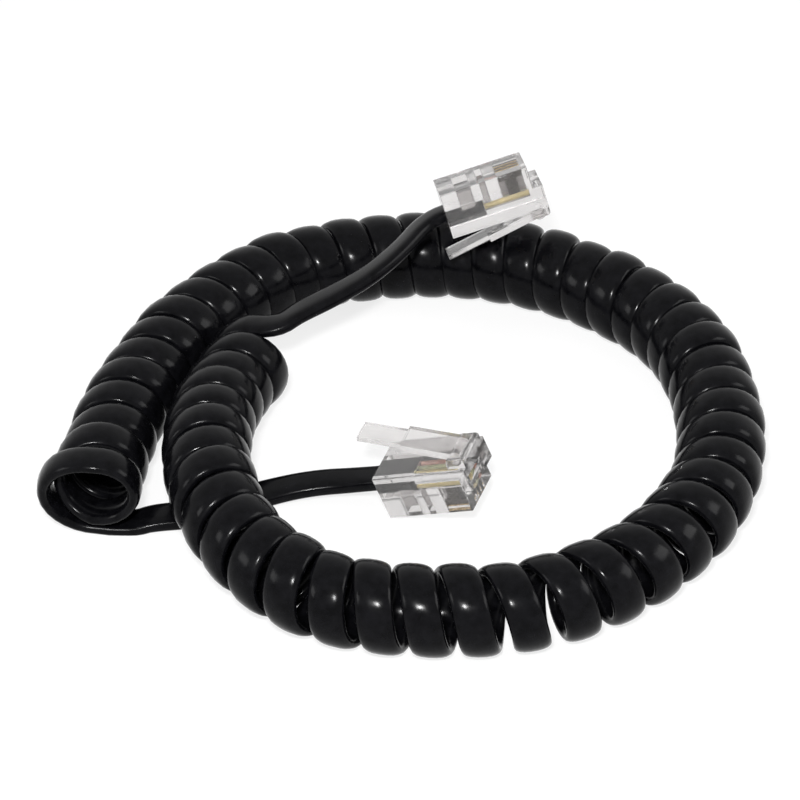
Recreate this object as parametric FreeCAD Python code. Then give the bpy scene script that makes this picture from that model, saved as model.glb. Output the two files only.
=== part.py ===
import FreeCAD, Part
import math
import os

from FreeCAD import Vector

os.makedirs("parts", exist_ok=True)

# Flat cord, millimetres
cord_width = 4.0
cord_thick = 2.0
cord_corner = 0.5
coil_outside = 12.0
coil_turns = 53.5
sections_per_turn = 12
floor_flat = 0.3
tail_step = 2.0

# Coil axis on the floor plan, from the open end to the end inside the loop.
# The third number is how far the coil is lifted off the floor there.
coil_axis_points = [
    (-41.9, -14.8, 0.0), (-39.8, -4.1, 0.0), (-36.4, 8.5, 0.0), (-30.6, 22.1, 0.0),
    (-19.2, 35.5, 0.0), (-4.8, 40.2, 0.0), (11.2, 40.4, 0.0), (26.7, 33.4, 0.0),
    (39.1, 20.2, 0.0), (42.9, 0.8, 0.0), (40.5, -16.3, 0.0), (30.4, -31.0, 0.0),
    (17.2, -39.3, 0.0), (2.2, -40.6, 0.0), (-11.8, -38.2, 0.5), (-21.8, -29.0, 2.2),
    (-26.4, -15.5, 3.2), (-26.4, -2.1, 2.0), (-23.5, 9.1, 0.4), (-20.6, 15.4, 0.0),
]

# Plug housing
plug_width = 7.65
plug_height = 6.6
plug_length = 14.0
cord_to_latch_face = 2.6
nose_step = 1.4
nose_height = 3.4
jacket_depth = 5.5
pocket_gap = 0.15
edge_round = 0.25
cut_past = 1.0

# Wires, contacts and the two clamping bars
contact_count = 4
contact_pitch = 1.02
wire_diameter = 0.92
wire_end_wall = 0.6
wire_gap = 0.06
blade_thick = 0.34
blade_from_front = 0.8
blade_length = 3.4
blade_bar_height = 1.0
blade_recess = 0.3
neck_length = 1.6
tine_rise = 0.25
slot_gap = 0.04
jacket_bar_start = 2.4
jacket_bar_length = 2.0
jacket_bar_width = 3.6
jacket_bite = 0.6
wire_bar_from_jacket = 0.25
wire_bar_length = 0.8
bar_recess = 0.9
bar_gap = 0.05

# Latch and its hinge saddle
saddle_length = 2.7
saddle_height = 1.5
saddle_width = 6.0
saddle_round = 0.7
hinge_from_nose = 1.45
hinge_rise = 1.0
hinge_radius = 0.9
hinge_gap = 0.06
latch_width = 4.1
latch_side_gap = 0.12
lever_width = 3.25
arm_thick = 1.1
lever_thick = 0.7
shoulder_from_hinge = 7.8
lever_from_hinge = 14.0
latch_rise_degrees = 18.0
plug_a_press_degrees = 9.0

# Where each plug lies: cord entry point, nose direction and latch side direction
plug_a_above_coil = 4.8
plug_a_entry = Vector(5.4, 34.2, coil_outside + plug_a_above_coil)
plug_a_nose = Vector(0.95, 0.19, 0.25)
plug_a_latch_side = Vector(0.31, -0.223, -0.922)
plug_b_entry = Vector(-2.3, -9.9, 4.2)
plug_b_nose = Vector(0.862, -0.352, 0.366)
plug_b_latch_side = Vector(-0.364, 0.045, 0.93)

# Tails, from where the coil ends to where the plug begins.
# The third number is the cord's underside: above the floor for plug_b, above the coil's top for plug_a.
tail_a_points = [(-33.8, -15.2, 0.0), (-27.3, -12.5, 0.0), (-19.8, -9.2, 0.0), (-12.8, -8.0, 0.8)]
tail_b_points = [(-11.3, 18.2, -0.7), (-5.3, 25.0, 0.1), (-0.2, 31.5, 1.3)]
tail_lead = 4.5

half_width = cord_width / 2
half_thick = cord_thick / 2
coil_radius = coil_outside / 2 - half_thick
coil_axis_height = coil_outside / 2 - floor_flat
up = Vector(0, 0, 1)


def unit(vector):
    return Vector(vector) / vector.Length


def clamped_spline(points):
    # quadratic curve that starts at the first point, ends at the last and is drawn by those between
    curve = Part.BSplineCurve()
    spans = len(points) - 2
    curve.buildFromPolesMultsKnots(points, [3] + [1] * (spans - 1) + [3], list(range(spans + 1)), False, 2)
    return curve


def cord_section(centre, wide, thin):
    # chamfered flat section, kept on or above the floor
    a, b, c = half_width, half_thick, cord_corner
    corners = [(a, b - c), (a - c, b), (c - a, b), (-a, b - c), (-a, c - b), (c - a, -b), (a - c, -b), (a, c - b)]
    points = [centre + wide * i + thin * j for i, j in corners]
    return [Vector(p.x, p.y, max(p.z, 0.0)) for p in points]


def cord_solid(sections):
    wires = [Part.makePolygon(points + points[:1]) for points in sections]
    return Part.makeLoft(wires, True, True)


def section_area(points):
    total = Vector(0, 0, 0)
    for p, q in zip(points, points[1:] + points[:1]):
        total += (p - points[0]).cross(q - points[0])
    return total.Length / 2


class Station:
    # one place on the cord: its centre, its direction and the way its wide side and thin side face
    def __init__(self, centre, along, wide):
        self.centre = centre
        self.along = unit(along)
        self.wide = unit(wide - self.along * wide.dot(self.along))
        self.thin = self.along.cross(self.wide)

    def section(self):
        return cord_section(self.centre, self.wide, self.thin)


def coil_stations():
    axis = clamped_spline([Vector(x, y, coil_axis_height + lift) for x, y, lift in coil_axis_points])
    length = axis.length()
    count = round(coil_turns * sections_per_turn)
    pitch = length / coil_turns
    stations = []
    for i in range(count + 1):
        parameter = axis.parameterAtDistance(length * i / count)
        foot = axis.value(parameter)
        forward = unit(axis.tangent(parameter)[0])
        side = unit(forward.cross(up))
        rise = side.cross(forward)
        # right-handed, starting under the axis
        angle = math.pi + 2 * math.pi * i / sections_per_turn
        radial = rise * math.cos(angle) + side * math.sin(angle)
        around = side * math.cos(angle) - rise * math.sin(angle)
        along = around * (2 * math.pi * coil_radius) + forward * pitch
        stations.append(Station(foot + radial * coil_radius, along, forward))
    return stations, length, pitch


def straight_end(station, distance):
    return Station(station.centre + station.along * distance, station.along, station.wide)


def least_self_gap(sections):
    least = math.inf
    near = sections_per_turn // 2
    for i, mine in enumerate(sections):
        for j in range(i + near, min(i + 2 * sections_per_turn, len(sections))):
            for p in mine:
                for q in sections[j]:
                    least = min(least, p.distanceToPoint(q))
    return least


def plug_placement(entry, nose, latch_side):
    x = unit(nose)
    y = unit(latch_side.cross(x))
    z = x.cross(y)
    matrix = FreeCAD.Matrix(x.x, y.x, z.x, entry.x, x.y, y.y, z.y, entry.y, x.z, y.z, z.z, entry.z, 0, 0, 0, 1)
    return FreeCAD.Placement(matrix)


def tail_solid(start, first_way, points, base, placement, flip):
    # from the coil's end, over the hand-chosen points, straight into the plug's pocket
    entry = placement.multVec(Vector(0, 0, 0))
    nose = placement.Rotation.multVec(Vector(1, 0, 0))
    width_way = placement.Rotation.multVec(Vector(0, flip, 0))
    run_in = entry - nose * tail_lead
    lead_out = start.centre + first_way * tail_lead
    middle = [Vector(x, y, base + z + half_thick) for x, y, z in points]
    route = [start.centre, lead_out] + middle + [run_in, entry]
    curve = clamped_spline(route)
    length = curve.length()
    count = math.ceil(length / tail_step)
    stations = []
    for i in range(count + 1):
        share = i / count
        parameter = curve.parameterAtDistance(length * share)
        along = curve.tangent(parameter)[0]
        wide = start.wide * (1 - share) + width_way * share
        stations.append(Station(curve.value(parameter), along, wide))
    stations.append(Station(entry + nose * jacket_depth, nose, width_way))
    sections = [station.section() for station in stations]
    area = section_area(sections[-1])
    solid = cord_solid(sections)
    print("tail", round(length, 1), "mm, volume", round(solid.Volume, 1), "of", round(area * (length + jacket_depth), 1))
    return solid


def box(x0, x1, y0, y1, z0, z1):
    return Part.makeBox(x1 - x0, y1 - y0, z1 - z0, Vector(x0, y0, z0))


def across(radius, width, x, z):
    return Part.makeCylinder(radius, width, Vector(x, -width / 2, z), Vector(0, 1, 0))


# Plug frame: x from the cord entry to the nose, y across, z towards the latch, zero at the cord's middle
latch_face = cord_to_latch_face
contact_face = cord_to_latch_face - plug_height
contact_front = plug_length - nose_step
wire_end = contact_front - wire_end_wall
blade_start = contact_front - blade_from_front - blade_length
wire_bar_start = jacket_depth + wire_bar_from_jacket
saddle_start = plug_length - saddle_length
hinge_x = plug_length - hinge_from_nose
hinge_z = latch_face + hinge_rise
wire_channel_half = wire_diameter / 2 + wire_gap
wire_rows = [(i - (contact_count - 1) / 2) * contact_pitch for i in range(contact_count)]
row_half = (contact_count - 1) / 2 * contact_pitch + wire_channel_half
blade_low = contact_face + blade_recess
blade_top = wire_diameter / 2 - tine_rise
neck_start = blade_start + (blade_length - neck_length) / 2


def blade(y):
    bar = box(blade_start, blade_start + blade_length, y - blade_thick / 2, y + blade_thick / 2,
              blade_low, blade_low + blade_bar_height)
    neck = box(neck_start, neck_start + neck_length, y - blade_thick / 2, y + blade_thick / 2,
               blade_low, blade_top)
    return bar.fuse(neck).removeSplitter()


def blade_slot(y):
    half = blade_thick / 2 + slot_gap
    return box(blade_start - slot_gap, blade_start + blade_length + slot_gap, y - half, y + half,
               contact_face - cut_past, wire_channel_half)


def wire(y):
    start = Vector(jacket_depth, y, 0)
    solid = Part.makeCylinder(wire_diameter / 2, wire_end - jacket_depth, start, Vector(1, 0, 0))
    return solid.cut(blade(y))


def jacket_bar():
    half = jacket_bar_width / 2
    return box(jacket_bar_start, jacket_bar_start + jacket_bar_length, -half, half,
               contact_face + bar_recess, jacket_bite - half_thick)


def wire_bar():
    return box(wire_bar_start, wire_bar_start + wire_bar_length, -row_half, row_half,
               contact_face + bar_recess, -wire_diameter / 2)


def bar_window(start, length, half, top):
    return box(start - bar_gap, start + length + bar_gap, -half - bar_gap, half + bar_gap,
               contact_face - cut_past, top)


def latch(rise_degrees):
    # drawn flat from the hinge back over the plug, then turned up
    arm = box(hinge_x - shoulder_from_hinge, hinge_x, -latch_width / 2, latch_width / 2,
              hinge_z - arm_thick / 2, hinge_z + arm_thick / 2)
    lever = box(hinge_x - lever_from_hinge, hinge_x - shoulder_from_hinge, -lever_width / 2, lever_width / 2,
                hinge_z - lever_thick / 2, hinge_z + lever_thick / 2)
    root = across(hinge_radius, latch_width, hinge_x, hinge_z)
    solid = root.fuse([arm, lever]).removeSplitter()
    solid.rotate(Vector(hinge_x, 0, hinge_z), Vector(0, 1, 0), rise_degrees)
    return solid


def housing():
    body = box(0, contact_front, -plug_width / 2, plug_width / 2, contact_face, latch_face)
    nose = box(0, plug_length, -plug_width / 2, plug_width / 2, latch_face - nose_height, latch_face)
    body = body.fuse(nose).removeSplitter()
    ends = [e for e in body.Edges if abs(e.Vertexes[0].Y) == plug_width / 2 and abs(e.Vertexes[1].Y) == plug_width / 2
            and abs(e.Vertexes[0].Y - e.Vertexes[1].Y) < plug_width]
    body = body.makeFillet(edge_round, ends)
    saddle = box(saddle_start, plug_length, -saddle_width / 2, saddle_width / 2, latch_face, latch_face + saddle_height)
    saddle = saddle.makeFillet(saddle_round, [e for e in saddle.Edges if e.BoundBox.ZMin > latch_face])
    body = body.fuse(saddle)
    seat_width = latch_width + 2 * latch_side_gap
    seat = across(hinge_radius + hinge_gap, seat_width, hinge_x, hinge_z)
    saddle_top = latch_face + saddle_height + cut_past
    swing = box(saddle_start - cut_past, hinge_x, -seat_width / 2, seat_width / 2, latch_face + hinge_gap, saddle_top)
    opening = box(hinge_x - hinge_radius, hinge_x + hinge_radius + hinge_gap, -seat_width / 2, seat_width / 2,
                  hinge_z, saddle_top)
    pocket = box(-cut_past, jacket_depth + bar_gap, -half_width - pocket_gap, half_width + pocket_gap,
                 -half_thick - pocket_gap, half_thick + pocket_gap)
    channel = box(jacket_depth, wire_end + slot_gap, -row_half, row_half, -wire_channel_half, wire_channel_half)
    cuts = [seat, swing, opening, pocket, channel]
    cuts += [blade_slot(y) for y in wire_rows]
    cuts.append(bar_window(jacket_bar_start, jacket_bar_length, jacket_bar_width / 2, 0))
    cuts.append(bar_window(wire_bar_start, wire_bar_length, row_half, 0))
    return body.cut(cuts)


def save(shape, name):
    shape.exportStep("parts/" + name + ".step")
    print(name, len(shape.Solids), "solid", round(shape.Volume, 2), "mm3", "valid" if shape.isValid() else "NOT VALID")


def save_plug(name, placement, cord_tail, rise_degrees):
    pieces = {"housing": housing(), "latch": latch(rise_degrees), "jacket_bar": jacket_bar(), "wire_bar": wire_bar()}
    for i, y in enumerate(wire_rows):
        pieces["contact_" + str(i + 1)] = blade(y)
        pieces["wire_" + str(i + 1)] = wire(y)
    for piece, shape in pieces.items():
        save(shape.transformed(placement.Matrix), name + "_" + piece)
    bite = jacket_bar().transformed(placement.Matrix)
    save(cord_tail.cut(bite), name + "_tail")
    hinge = placement.multVec(Vector(hinge_x, 0, hinge_z))
    across_way = placement.Rotation.multVec(Vector(0, 1, 0))
    print(name, "hinge", [round(c, 4) for c in hinge], "axis", [round(-c, 6) for c in across_way])


stations, axis_length, pitch = coil_stations()
first, last = stations[0], stations[-1]
before = straight_end(first, -cord_thick)
after = straight_end(last, cord_thick)
coil_sections = [station.section() for station in [before] + stations + [after]]
coil = cord_solid(coil_sections)
turn_length = math.hypot(2 * math.pi * coil_radius, pitch)
cord_in_coil = turn_length * coil_turns
print("coil axis", round(axis_length, 1), "pitch", round(pitch, 3), "cord in the coil", round(cord_in_coil, 1))
print("coil volume", round(coil.Volume, 1), "of", round(section_area(coil_sections[-1]) * cord_in_coil, 1))
print("least gap between turns", round(least_self_gap(coil_sections), 3))
save(coil, "coiled_cord")

place_a = plug_placement(plug_a_entry, plug_a_nose, plug_a_latch_side)
place_b = plug_placement(plug_b_entry, plug_b_nose, plug_b_latch_side)
tail_of_a = tail_solid(after, after.along, tail_b_points, coil_outside, place_a, -1)
tail_of_b = tail_solid(before, before.along * -1, tail_a_points, 0.0, place_b, 1)
save_plug("plug_a", place_a, tail_of_a, latch_rise_degrees - plug_a_press_degrees)
save_plug("plug_b", place_b, tail_of_b, latch_rise_degrees)
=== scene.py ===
import math

import bpy
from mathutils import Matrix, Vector


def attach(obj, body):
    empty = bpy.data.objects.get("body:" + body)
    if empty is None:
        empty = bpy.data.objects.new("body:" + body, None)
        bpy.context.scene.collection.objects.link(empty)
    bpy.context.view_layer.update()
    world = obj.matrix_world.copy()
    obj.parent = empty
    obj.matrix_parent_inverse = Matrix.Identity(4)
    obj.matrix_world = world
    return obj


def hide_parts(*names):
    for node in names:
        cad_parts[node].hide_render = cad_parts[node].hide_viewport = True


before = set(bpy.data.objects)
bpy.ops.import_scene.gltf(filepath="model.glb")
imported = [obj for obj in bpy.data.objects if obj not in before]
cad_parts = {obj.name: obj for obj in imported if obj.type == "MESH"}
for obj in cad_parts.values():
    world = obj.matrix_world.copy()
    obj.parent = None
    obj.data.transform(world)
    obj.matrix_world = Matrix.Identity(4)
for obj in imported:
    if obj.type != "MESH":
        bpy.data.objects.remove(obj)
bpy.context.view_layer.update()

mm = 0.001
up = Vector((0, 0, 1))
print("frame loaded:", len(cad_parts), "nodes")


# Where each plug lies, the same as the solids: cord entry in mm, nose direction, latch side direction
plugPlaces = {
    "plug_a": {"entry": (5.4, 34.2, 16.8), "nose": (0.95, 0.19, 0.25),
               "latchSide": (0.31, -0.223, -0.922)},
    "plug_b": {"entry": (-2.3, -9.9, 4.2), "nose": (0.862, -0.352, 0.366),
               "latchSide": (-0.364, 0.045, 0.93)},
}


def plugAxes(name):
    place = plugPlaces[name]
    nose = Vector(place["nose"]).normalized()
    across = Vector(place["latchSide"]).cross(nose).normalized()
    return Vector(place["entry"]) * mm, nose, across, nose.cross(across)


# Surface that every material of the part shares: faint clouding, and fine specks that stand a little proud
surfaceLook = {"cloudDetail": 4.0, "cloudSpan": (0.3, 0.7), "speckDetail": 2.0, "speckFineness": 5.0}


def newMaterial(name):
    material = bpy.data.materials.new(name)
    material.use_nodes = True
    nodes = material.node_tree.nodes
    nodes.clear()
    shader = nodes.new("ShaderNodeBsdfPrincipled")
    output = nodes.new("ShaderNodeOutputMaterial")
    material.node_tree.links.new(shader.outputs["BSDF"], output.inputs["Surface"])
    return material, nodes, material.node_tree.links, shader


def handledSurface():
    group = bpy.data.node_groups.new("handledSurface", "ShaderNodeTree")
    group.interface.new_socket("Vector", in_out="INPUT", socket_type="NodeSocketVector")
    for label in ("Scale", "Smooth", "Dull"):
        group.interface.new_socket(label, in_out="INPUT", socket_type="NodeSocketFloat")
    for label in ("Roughness", "Height", "Cloud"):
        group.interface.new_socket(label, in_out="OUTPUT", socket_type="NodeSocketFloat")
    nodes, links = group.nodes, group.links
    source = nodes.new("NodeGroupInput")
    result = nodes.new("NodeGroupOutput")
    cloud = nodes.new("ShaderNodeTexNoise")
    cloud.inputs["Detail"].default_value = surfaceLook["cloudDetail"]
    links.new(source.outputs["Vector"], cloud.inputs["Vector"])
    links.new(source.outputs["Scale"], cloud.inputs["Scale"])
    finer = nodes.new("ShaderNodeMath")
    finer.operation = "MULTIPLY"
    finer.inputs[1].default_value = surfaceLook["speckFineness"]
    links.new(source.outputs["Scale"], finer.inputs[0])
    speck = nodes.new("ShaderNodeTexNoise")
    speck.inputs["Detail"].default_value = surfaceLook["speckDetail"]
    links.new(source.outputs["Vector"], speck.inputs["Vector"])
    links.new(finer.outputs[0], speck.inputs["Scale"])
    span = nodes.new("ShaderNodeMapRange")
    for label, value in zip(("From Min", "From Max"), surfaceLook["cloudSpan"]):
        span.inputs[label].default_value = value
    links.new(cloud.outputs["Fac"], span.inputs["Value"])
    links.new(source.outputs["Smooth"], span.inputs["To Min"])
    links.new(source.outputs["Dull"], span.inputs["To Max"])
    links.new(span.outputs["Result"], result.inputs["Roughness"])
    links.new(speck.outputs["Fac"], result.inputs["Height"])
    links.new(cloud.outputs["Fac"], result.inputs["Cloud"])
    return group


surfaceGroup = handledSurface()


def addBump(nodes, links, shader, height, strength, distance):
    # goes on top of any bump that the shader already has
    bump = nodes.new("ShaderNodeBump")
    bump.inputs["Strength"].default_value = strength
    bump.inputs["Distance"].default_value = distance
    for earlier in shader.inputs["Normal"].links:
        links.new(earlier.from_socket, bump.inputs["Normal"])
    links.new(height, bump.inputs["Height"])
    links.new(bump.outputs["Normal"], shader.inputs["Normal"])


def addSurface(nodes, links, shader, vector, look):
    surface = nodes.new("ShaderNodeGroup")
    surface.node_tree = surfaceGroup
    surface.inputs["Scale"].default_value = look["specks"]
    surface.inputs["Smooth"].default_value = look["smooth"]
    surface.inputs["Dull"].default_value = look["dull"]
    links.new(vector, surface.inputs["Vector"])
    links.new(surface.outputs["Roughness"], shader.inputs["Roughness"])
    addBump(nodes, links, shader, surface.outputs["Height"], look["grain"], look["grainDepth"])
    return surface


def tintByCloud(nodes, links, shader, surface, dark, light):
    ramp = nodes.new("ShaderNodeValToRGB")
    for stop, place, colour in zip(ramp.color_ramp.elements, surfaceLook["cloudSpan"], (dark, light)):
        stop.position = place
        stop.color = (*colour, 1)
    links.new(surface.outputs["Cloud"], ramp.inputs["Fac"])
    links.new(ramp.outputs["Color"], shader.inputs["Base Color"])


jacketLook = {
    "dark": (0.0012, 0.0012, 0.0016), "light": (0.0036, 0.0036, 0.0044), "smooth": 0.13, "dull": 0.24,
    "shine": 0.07, "specks": 700.0, "grain": 0.06, "grainDepth": 0.04 * mm,
    "linesAlong": 40.0, "linesAround": 260.0, "lineDetail": 3.0, "lineBump": 0.05, "lineDepth": 0.03 * mm,
}


def jacketMaterial():
    # soft black PVC, drawn through a die: fine lines run along the cord
    look = jacketLook
    material, nodes, links, shader = newMaterial("blackJacket")
    place = nodes.new("ShaderNodeTexCoord")
    surface = addSurface(nodes, links, shader, place.outputs["Object"], look)
    tintByCloud(nodes, links, shader, surface, look["dark"], look["light"])
    along = nodes.new("ShaderNodeUVMap")
    along.uv_map = "cordLength"
    stretch = nodes.new("ShaderNodeMapping")
    stretch.inputs["Scale"].default_value = (look["linesAlong"], look["linesAround"], 1.0)
    links.new(along.outputs["UV"], stretch.inputs["Vector"])
    lines = nodes.new("ShaderNodeTexNoise")
    lines.inputs["Scale"].default_value = 1.0
    lines.inputs["Detail"].default_value = look["lineDetail"]
    links.new(stretch.outputs["Vector"], lines.inputs["Vector"])
    addBump(nodes, links, shader, lines.outputs["Fac"], look["lineBump"], look["lineDepth"])
    shader.inputs["Specular IOR Level"].default_value = look["shine"]
    return material


clearLook = {
    "dark": (0.70, 0.685, 0.68), "light": (0.78, 0.765, 0.76), "smooth": 0.06, "dull": 0.15,
    "ior": 1.46, "clear": 0.965, "specks": 420.0, "grain": 0.05, "grainDepth": 0.05 * mm,
}


def clearMaterial():
    # clear moulded polycarbonate, a little hazy
    look = clearLook
    material, nodes, links, shader = newMaterial("clearPolycarbonate")
    place = nodes.new("ShaderNodeTexCoord")
    surface = addSurface(nodes, links, shader, place.outputs["Object"], look)
    tintByCloud(nodes, links, shader, surface, look["dark"], look["light"])
    shader.inputs["Transmission Weight"].default_value = look["clear"]
    shader.inputs["IOR"].default_value = look["ior"]
    return material


# gold is the real plating on the contact edge; the nickel colour is painted shade, near black where real
# nickel is pale
contactLook = {
    "gold": (0.95, 0.70, 0.32), "nickelPaintedShade": (0.055, 0.045, 0.035), "smooth": 0.2, "dull": 0.38,
    "faceDepth": 3.7 * mm, "goldDepth": 0.12 * mm, "goldFade": 0.15 * mm,
    "specks": 2500.0, "grain": 0.04, "grainDepth": 0.02 * mm,
}


def contactMaterial(plugName):
    # the blade is nickel with gold on the edge that meets the jack; the gold edge is real plating, while the
    # nickel is painted near black, far darker than nickel, as painted shade on the blade faces inside the
    # housing
    look = contactLook
    entry, nose, across, latchSide = plugAxes(plugName)
    material, nodes, links, shader = newMaterial(plugName + "ContactPlatingPaintedShade")
    place = nodes.new("ShaderNodeNewGeometry")
    addSurface(nodes, links, shader, place.outputs["Position"], look)
    depth = nodes.new("ShaderNodeVectorMath")
    depth.operation = "DOT_PRODUCT"
    depth.inputs[1].default_value = latchSide
    links.new(place.outputs["Position"], depth.inputs[0])
    goldEnd = entry.dot(latchSide) - look["faceDepth"] + look["goldDepth"]
    fade = nodes.new("ShaderNodeMapRange")
    fade.inputs["From Min"].default_value = goldEnd
    fade.inputs["From Max"].default_value = goldEnd + look["goldFade"]
    links.new(depth.outputs["Value"], fade.inputs["Value"])
    ramp = nodes.new("ShaderNodeValToRGB")
    ramp.color_ramp.elements[0].color = (*look["gold"], 1)
    ramp.color_ramp.elements[1].color = (*look["nickelPaintedShade"], 1)
    links.new(fade.outputs["Result"], ramp.inputs["Fac"])
    links.new(ramp.outputs["Color"], shader.inputs["Base Color"])
    shader.inputs["Metallic"].default_value = 1.0
    return material


# the colours are in the order of plug_a's wires, wire_1 first
wireLook = {
    "colours": {
        "blackInsulation": (0.015, 0.015, 0.016), "redInsulation": (0.58, 0.28, 0.20),
        "greenInsulation": (0.50, 0.52, 0.28), "yellowInsulation": (0.78, 0.65, 0.30),
    },
    "shade": 0.8, "smooth": 0.3, "dull": 0.45, "specks": 1500.0, "grain": 0.05, "grainDepth": 0.03 * mm,
}


def wireMaterial(name, colour):
    material, nodes, links, shader = newMaterial(name)
    place = nodes.new("ShaderNodeTexCoord")
    surface = addSurface(nodes, links, shader, place.outputs["Object"], wireLook)
    tintByCloud(nodes, links, shader, surface, tuple(c * wireLook["shade"] for c in colour), colour)
    return material


# The cord: one strip from plug_b through the coil to plug_a
cordLook = {
    "width": 4.9 * mm, "thick": 1.95 * mm, "squareness": 2.35, "sectionPoints": 20,
    "routeOrder": 3, "routeSteps": 24,
}


def smoothLine(points):
    # the points' own NURBS spline, read back as a fine line
    data = bpy.data.curves.new("routeGuide", "CURVE")
    data.dimensions = "3D"
    data.resolution_u = cordLook["routeSteps"]
    spline = data.splines.new("NURBS")
    spline.points.add(len(points) - 1)
    for point, place in zip(spline.points, points):
        point.co = (*place, 1)
    spline.order_u = cordLook["routeOrder"]
    spline.use_endpoint_u = True
    guide = bpy.data.objects.new("routeGuide", data)
    bpy.context.scene.collection.objects.link(guide)
    bpy.context.view_layer.update()
    mesh = bpy.data.meshes.new_from_object(guide)
    line = [vertex.co.copy() for vertex in mesh.vertices]
    bpy.data.objects.remove(guide)
    bpy.data.curves.remove(data)
    bpy.data.meshes.remove(mesh)
    return line


def lengthsAlong(line):
    lengths = [0.0]
    for a, b in zip(line, line[1:]):
        lengths.append(lengths[-1] + (b - a).length)
    return lengths


def placesOn(line, shares):
    # points at these shares of the line's length, each with its direction
    lengths = lengthsAlong(line)
    found = []
    k = 0
    for share in shares:
        want = lengths[-1] * share
        while k < len(line) - 2 and lengths[k + 1] < want:
            k += 1
        found.append(line[k].lerp(line[k + 1], (want - lengths[k]) / (lengths[k + 1] - lengths[k])))
    last = len(found) - 1
    ways = [(found[min(i + 1, last)] - found[max(i - 1, 0)]).normalized() for i in range(last + 1)]
    return found, ways


def bulge(value, squareness):
    return math.copysign(abs(value) ** (2 / squareness), value) / 2


class Ring:
    # a place on the cord: centre, direction, and which way its wide and thin sides face
    def __init__(self, centre, along, wide, width=None, squareness=None, limit=None):
        self.centre = centre
        self.width = width or cordLook["width"]
        self.squareness = squareness or cordLook["squareness"]
        self.limit = limit
        self.along = along.normalized()
        self.wide = (wide - self.along * wide.dot(self.along)).normalized()
        self.thin = self.along.cross(self.wide)

    def turnBack(self):
        self.along = -self.along
        self.thin = self.along.cross(self.wide)

    def outline(self):
        # a flat section with rounded sides, kept above the floor and off the bar in the plug
        points = []
        for k in range(cordLook["sectionPoints"]):
            angle = 2 * math.pi * (k + 0.5) / cordLook["sectionPoints"]
            across = bulge(math.cos(angle), self.squareness) * self.width
            through = bulge(math.sin(angle), self.squareness) * cordLook["thick"]
            point = self.centre + self.wide * across + self.thin * through
            point.z = max(point.z, 0.0)
            if self.limit:
                entry, latchSide, low = self.limit
                reach = (point - entry).dot(latchSide)
                point += latchSide * (max(reach, low) - reach)
            points.append(point)
        return points


coilLook = {
    "outside": 12.0 * mm, "floorFlat": 0.3 * mm, "turns": 53.5, "ringsPerTurn": 30,
    "stretch": 0.22, "stretchAt": 0.675, "stretchSpan": 0.1,
    "looseness": 0.12 * mm, "looseBeat": 2.4, "looseDrift": 0.61, "looseStart": 1.0,
}
# in mm, from the open end at the left round the loop to the end that plug_a hangs on
coilAxisPoints = [
    (-40.6, -14.8, 0.0), (-39.8, -4.1, 0.0), (-36.4, 8.5, 0.0), (-30.6, 22.1, 0.0),
    (-19.2, 35.5, 0.0), (-4.8, 40.2, 0.0), (11.2, 40.4, 0.0), (26.7, 33.4, 0.0),
    (39.1, 20.2, 0.0), (42.9, 0.8, 0.0), (40.5, -16.3, 0.0), (30.4, -31.0, 0.0),
    (17.2, -39.3, 0.0), (2.2, -40.6, 0.0), (-11.8, -38.2, 0.5), (-21.8, -29.0, 2.2),
    (-26.4, -15.5, 3.2), (-26.4, -2.1, 2.0), (-23.5, 9.1, 0.4), (-20.6, 15.4, 0.0),
]
# the open end: places and pitches are in turns, and each pitch, up to its turn, is a share of the even one
openEndLook = {
    "pitches": [(1.0, 0.1), (1.42, 2.0), (9.4, 1.046)],
    "nestStep": 2.0 * mm, "nestUntil": 0.16, "nestFade": 0.38, "topDrop": 0.45,
    "drawn": 2.2 * mm, "drawnBy": 0.5, "drawnEase": 1.6,
}


def coilShares(count):
    # the turns lie close together, and further apart where the front of the loop is pulled open
    look = coilLook
    shares = [0.0]
    for i in range(count):
        far = ((i + 0.5) / count - look["stretchAt"]) / look["stretchSpan"]
        step = 1 + look["stretch"] * math.exp(-far * far)
        for until, pitch in openEndLook["pitches"]:
            if i / look["ringsPerTurn"] < until:
                step = pitch
                break
        shares.append(shares[-1] + step)
    return [share / shares[-1] for share in shares]


def smoothShare(value):
    share = min(1.0, max(0.0, value))
    return share * share * (3 - 2 * share)


def openEnd(turn):
    # the open end's first turn lies round the outside of the second, which stands on it
    look = openEndLook
    wider = 1 - smoothShare((turn - look["nestUntil"]) / look["nestFade"])
    if turn < 1:
        raised = 1 - look["topDrop"] * math.sin(math.pi * turn) ** 2
    else:
        raised = (1 + math.cos(math.pi * min(turn - 1, 1.0))) / 2
    late = max(0.0, turn - look["drawnBy"])
    drawn = smoothShare(turn / look["drawnBy"]) / (1 + look["drawnEase"] * late)
    return wider * look["nestStep"], raised * look["nestStep"], drawn * look["drawn"]


def coilRings():
    look = coilLook
    height = look["outside"] / 2 - look["floorFlat"]
    radius = look["outside"] / 2 - cordLook["thick"] / 2
    line = smoothLine([Vector((x * mm, y * mm, z * mm + height)) for x, y, z in coilAxisPoints])
    count = round(look["turns"] * look["ringsPerTurn"])
    feet, ways = placesOn(line, coilShares(count))
    centres = []
    for i, (foot, forward) in enumerate(zip(feet, ways)):
        turn = i / look["ringsPerTurn"]
        side = forward.cross(up).normalized()
        rise = side.cross(forward)
        angle = math.pi + 2 * math.pi * turn
        radial = rise * math.cos(angle) + side * math.sin(angle)
        wider, raised, drawn = openEnd(turn)
        wave = math.sin(turn * look["looseBeat"]) * math.sin(turn * look["looseDrift"] + look["looseStart"])
        loose = look["looseness"] * wave
        centres.append(foot + radial * (radius + wider + loose) + up * (raised + loose) - forward * drawn)
    rings = []
    for i, forward in enumerate(ways):
        along = centres[min(i + 1, count)] - centres[max(i - 1, 0)]
        rings.append(Ring(centres[i], along, forward))
    return rings


tailLook = {
    "step": 0.8 * mm, "solidHalfThick": 1.0 * mm, "pluggedWidth": 4.0 * mm,
    "squareness": 3.6, "squareBy": 0.25,
}
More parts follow.
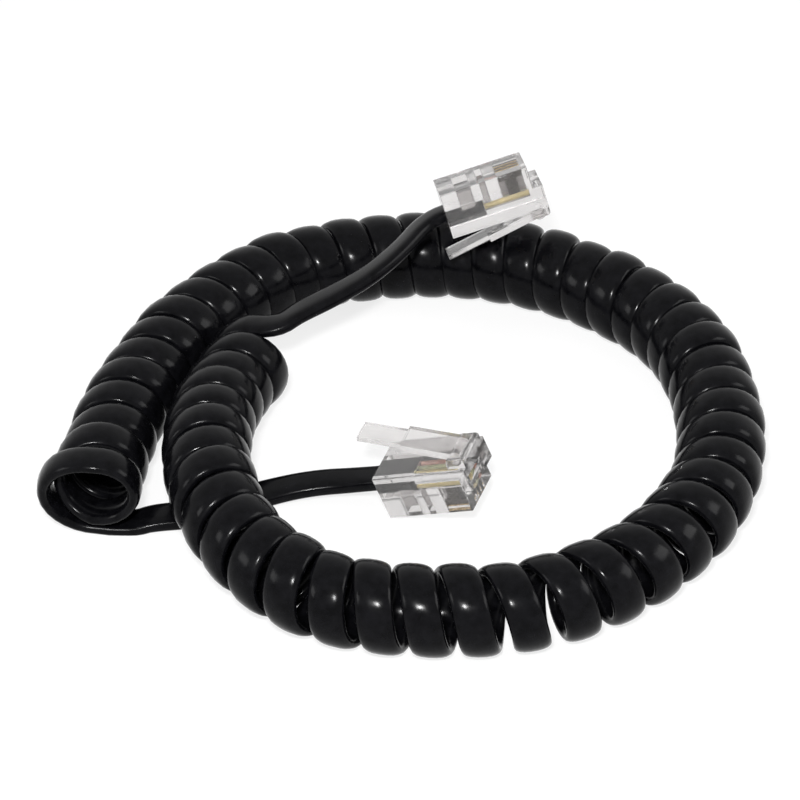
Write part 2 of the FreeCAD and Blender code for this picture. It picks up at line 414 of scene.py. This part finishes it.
# each tail by its plug; the points are in mm, from the coil to the plug
tails = {
    "plug_b": {"flip": 1, "leadOut": 4.5 * mm, "runIn": 4.5 * mm, "points": [
        (-33.8, -14.6, 0.0), (-27.3, -13.8, 0.0), (-19.8, -9.6, 0.0), (-12.8, -8.0, 0.8)]},
    "plug_a": {"flip": -1, "leadOut": 3.0 * mm, "runIn": 2.5 * mm, "points": [
        (-14.5, 17.4, 10.9), (-10.0, 20.2, 11.6), (-5.5, 23.4, 12.4), (-0.9, 28.2, 13.6)]},
}
# in mm: how far into the plug, and how far the clamping bar lets the jacket reach there towards the contacts
jacketInPlug = [(1.2, -1.2), (2.0, -1.2), (2.35, -0.36), (4.45, -0.36), (4.8, -1.2), (5.4, -1.2)]


def tailRings(start, way, plugName):
    look, tail = tailLook, tails[plugName]
    entry, nose, across, latchSide = plugAxes(plugName)
    hand = [Vector((x * mm, y * mm, z * mm + look["solidHalfThick"])) for x, y, z in tail["points"]]
    leadOut = start.centre + way * tail["leadOut"]
    runIn = entry - nose * tail["runIn"]
    line = smoothLine([start.centre, leadOut] + hand + [runIn, entry])
    count = round(lengthsAlong(line)[-1] / look["step"])
    facing = across * tail["flip"]
    narrower = look["pluggedWidth"] - cordLook["width"]
    squarer = look["squareness"] - cordLook["squareness"]
    centres, ways = placesOn(line, [i / count for i in range(count + 1)])
    rings = []
    for i, (centre, along) in enumerate(zip(centres, ways)):
        share = i / count
        width = cordLook["width"] + narrower * share
        squareness = cordLook["squareness"] + squarer * min(1.0, share / look["squareBy"])
        rings.append(Ring(centre, along, start.wide.lerp(facing, share), width, squareness))
    for depth, low in jacketInPlug:
        limit = (entry, latchSide, low * mm)
        centre = entry + nose * depth * mm
        rings.append(Ring(centre, nose, facing, look["pluggedWidth"], look["squareness"], limit))
    return rings[1:]


def cordRings():
    coil = coilRings()
    first = tailRings(coil[0], -coil[0].along, "plug_b")
    for ring in first:
        # walked back from the plug, so that the strip faces one way all along
        ring.turnBack()
    return first[::-1] + coil + tailRings(coil[-1], coil[-1].along, "plug_a")


def buildCord(material):
    rings = cordRings()
    path = [ring.centre for ring in rings]
    lengths = lengthsAlong(path)
    count = cordLook["sectionPoints"]
    points = [point for ring in rings for point in ring.outline()]
    faces = []
    for near in range(0, len(points) - count, count):
        far = near + count
        for k in range(count):
            after = (k + 1) % count
            faces.append((near + k, near + after, far + after, far + k))
    ends = [tuple(range(count))[::-1], tuple(range(len(points) - count, len(points)))]
    mesh = bpy.data.meshes.new("curlyCord")
    mesh.from_pydata(points, [], faces + ends)
    uv = mesh.uv_layers.new(name="cordLength")
    for loop in mesh.loops:
        i, k = divmod(loop.vertex_index, count)
        uv.data[loop.index].uv = (lengths[i], k / count)
    mesh.polygons.foreach_set("use_smooth", [True] * len(faces) + [False] * len(ends))
    mesh.update()
    mesh.materials.append(material)
    piece = bpy.data.objects.new("curlyCord", mesh)
    bpy.context.scene.collection.objects.link(piece)
    return piece, path, lengths[-1]


cordPiece, cordPath, cordLength = buildCord(jacketMaterial())
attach(cordPiece, "cord")
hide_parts("coiled_cord", "plug_a_tail", "plug_b_tail")
print("cord laid:", round(cordLength, 3), "m")


# Plugs: the solids' own shapes, with softened edges and their finishes
edgeLook = {
    "widths": {"housing": 0.16 * mm, "latch": 0.2 * mm, "jacket_bar": 0.08 * mm, "wire_bar": 0.06 * mm},
    "segments": 3, "sharpAngle": 40.0, "weld": 0.002 * mm,
}


def finishNode(name, material):
    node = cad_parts[name]
    if not node.material_slots:
        node.data.materials.append(material)
    for slot in node.material_slots:
        slot.material = material


def softenEdges(name, width):
    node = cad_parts[name]
    weld = node.modifiers.new("weld", "WELD")
    weld.merge_threshold = edgeLook["weld"]
    bevel = node.modifiers.new("edges", "BEVEL")
    bevel.width = width
    bevel.segments = edgeLook["segments"]
    bevel.limit_method = "ANGLE"
    bevel.angle_limit = math.radians(edgeLook["sharpAngle"])
    bevel.use_clamp_overlap = True


clearPlastic = clearMaterial()
wireMaterials = [wireMaterial(name, colour) for name, colour in wireLook["colours"].items()]
for plugName in plugPlaces:
    for piece, width in edgeLook["widths"].items():
        finishNode(plugName + "_" + piece, clearPlastic)
        softenEdges(plugName + "_" + piece, width)
    plating = contactMaterial(plugName)
    # the colours run the other way in plug_b
    inOrder = wireMaterials if plugName == "plug_a" else wireMaterials[::-1]
    for i, insulation in enumerate(inOrder, 1):
        finishNode(plugName + "_contact_" + str(i), plating)
        finishNode(plugName + "_wire_" + str(i), insulation)
print("plugs finished")


# Stage: pale floor, soft light and the camera
stageLook = {
    "floorSize": 6.0, "floorDrop": 0.05 * mm, "floorColour": (0.9, 0.9, 0.9), "floorRoughness": 0.9,
    "shadowShare": 0.2, "world": 0.22,
}


def seenRays(nodes, links):
    # one for what the camera sees, straight on, in a gloss or through clear plastic
    rays = nodes.new("ShaderNodeLightPath")
    seen = rays.outputs["Is Camera Ray"]
    for kind in ("Is Glossy Ray", "Is Transmission Ray"):
        either = nodes.new("ShaderNodeMath")
        either.operation = "MAXIMUM"
        links.new(seen, either.inputs[0])
        links.new(rays.outputs[kind], either.inputs[1])
        seen = either.outputs[0]
    return seen


def addFloor():
    look = stageLook
    mesh = bpy.data.meshes.new("floor")
    half, low = look["floorSize"] / 2, -look["floorDrop"]
    corners = [(-half, -half, low), (half, -half, low), (half, half, low), (-half, half, low)]
    mesh.from_pydata(corners, [], [(0, 1, 2, 3)])
    floor = bpy.data.objects.new("floor", mesh)
    bpy.context.scene.collection.objects.link(floor)
    material, nodes, links, shader = newMaterial("paleFloor")
    shader.inputs["Base Color"].default_value = (*look["floorColour"], 1)
    shader.inputs["Roughness"].default_value = look["floorRoughness"]
    shader.inputs["Specular IOR Level"].default_value = 0.0
    white = nodes.new("ShaderNodeEmission")
    white.inputs["Color"].default_value = (1, 1, 1, 1)
    share = nodes.new("ShaderNodeMath")
    share.operation = "MULTIPLY"
    share.inputs[1].default_value = 1 - look["shadowShare"]
    links.new(seenRays(nodes, links), share.inputs[0])
    mix = nodes.new("ShaderNodeMixShader")
    links.new(share.outputs[0], mix.inputs["Fac"])
    links.new(shader.outputs["BSDF"], mix.inputs[1])
    links.new(white.outputs["Emission"], mix.inputs[2])
    output = next(node for node in nodes if node.type == "OUTPUT_MATERIAL")
    links.new(mix.outputs["Shader"], output.inputs["Surface"])
    mesh.materials.append(material)


def addWorld():
    world = bpy.data.worlds.new("studio")
    bpy.context.scene.world = world
    world.use_nodes = True
    nodes, links = world.node_tree.nodes, world.node_tree.links
    background = nodes["Background"]
    background.inputs["Color"].default_value = (1, 1, 1, 1)
    strength = nodes.new("ShaderNodeMapRange")
    strength.inputs["To Min"].default_value = stageLook["world"]
    strength.inputs["To Max"].default_value = 1.0
    links.new(seenRays(nodes, links), strength.inputs["Value"])
    links.new(strength.outputs["Result"], background.inputs["Strength"])


# in metres and watts; every light is aimed at the middle of the floor
lightLook = {
    "flashLight": {"place": (-0.03, -0.43, 0.42), "size": (0.06, 0.045), "power": 4.6, "mirrored": True},
    "topLight": {"place": (-0.1, 0.1, 0.7), "size": (0.5, 0.5), "power": 0.9, "mirrored": False},
    "rightLight": {"place": (0.6, 0.0, 0.35), "size": (0.35, 0.25), "power": 1.5, "mirrored": True},
    "leftLight": {"place": (-0.6, -0.2, 0.35), "size": (0.25, 0.2), "power": 1.0, "mirrored": True},
}


def addSoftLight(name, look):
    data = bpy.data.lights.new(name, "AREA")
    data.shape = "RECTANGLE"
    data.size, data.size_y = look["size"]
    data.energy = look["power"]
    lamp = bpy.data.objects.new(name, data)
    lamp.location = look["place"]
    lamp.visible_glossy = look["mirrored"]
    lamp.rotation_euler = (-Vector(look["place"])).to_track_quat("-Z", "Y").to_euler()
    bpy.context.scene.collection.objects.link(lamp)


cameraLook = {
    "elevation": 36.0, "distance": 0.6, "focalPixels": 4440.0, "imagePixels": 800,
    "aim": (-0.8 * mm, 4.9 * mm, 6.1 * mm), "sensor": 36.0, "nearest": 0.01,
}


def addCamera():
    look = cameraLook
    data = bpy.data.cameras.new("photoCamera")
    data.sensor_width = look["sensor"]
    data.lens = look["focalPixels"] / look["imagePixels"] * look["sensor"]
    data.clip_start = look["nearest"]
    camera = bpy.data.objects.new("photoCamera", data)
    tilt = math.radians(look["elevation"])
    sight = Vector((0, math.cos(tilt), -math.sin(tilt)))
    camera.location = Vector(look["aim"]) - sight * look["distance"]
    camera.rotation_euler = sight.to_track_quat("-Z", "Y").to_euler()
    bpy.context.scene.collection.objects.link(camera)
    bpy.context.scene.camera = camera


addFloor()
addWorld()
for lightName, light in lightLook.items():
    addSoftLight(lightName, light)
addCamera()
bpy.context.scene.view_settings.view_transform = "Standard"
print("stage set")
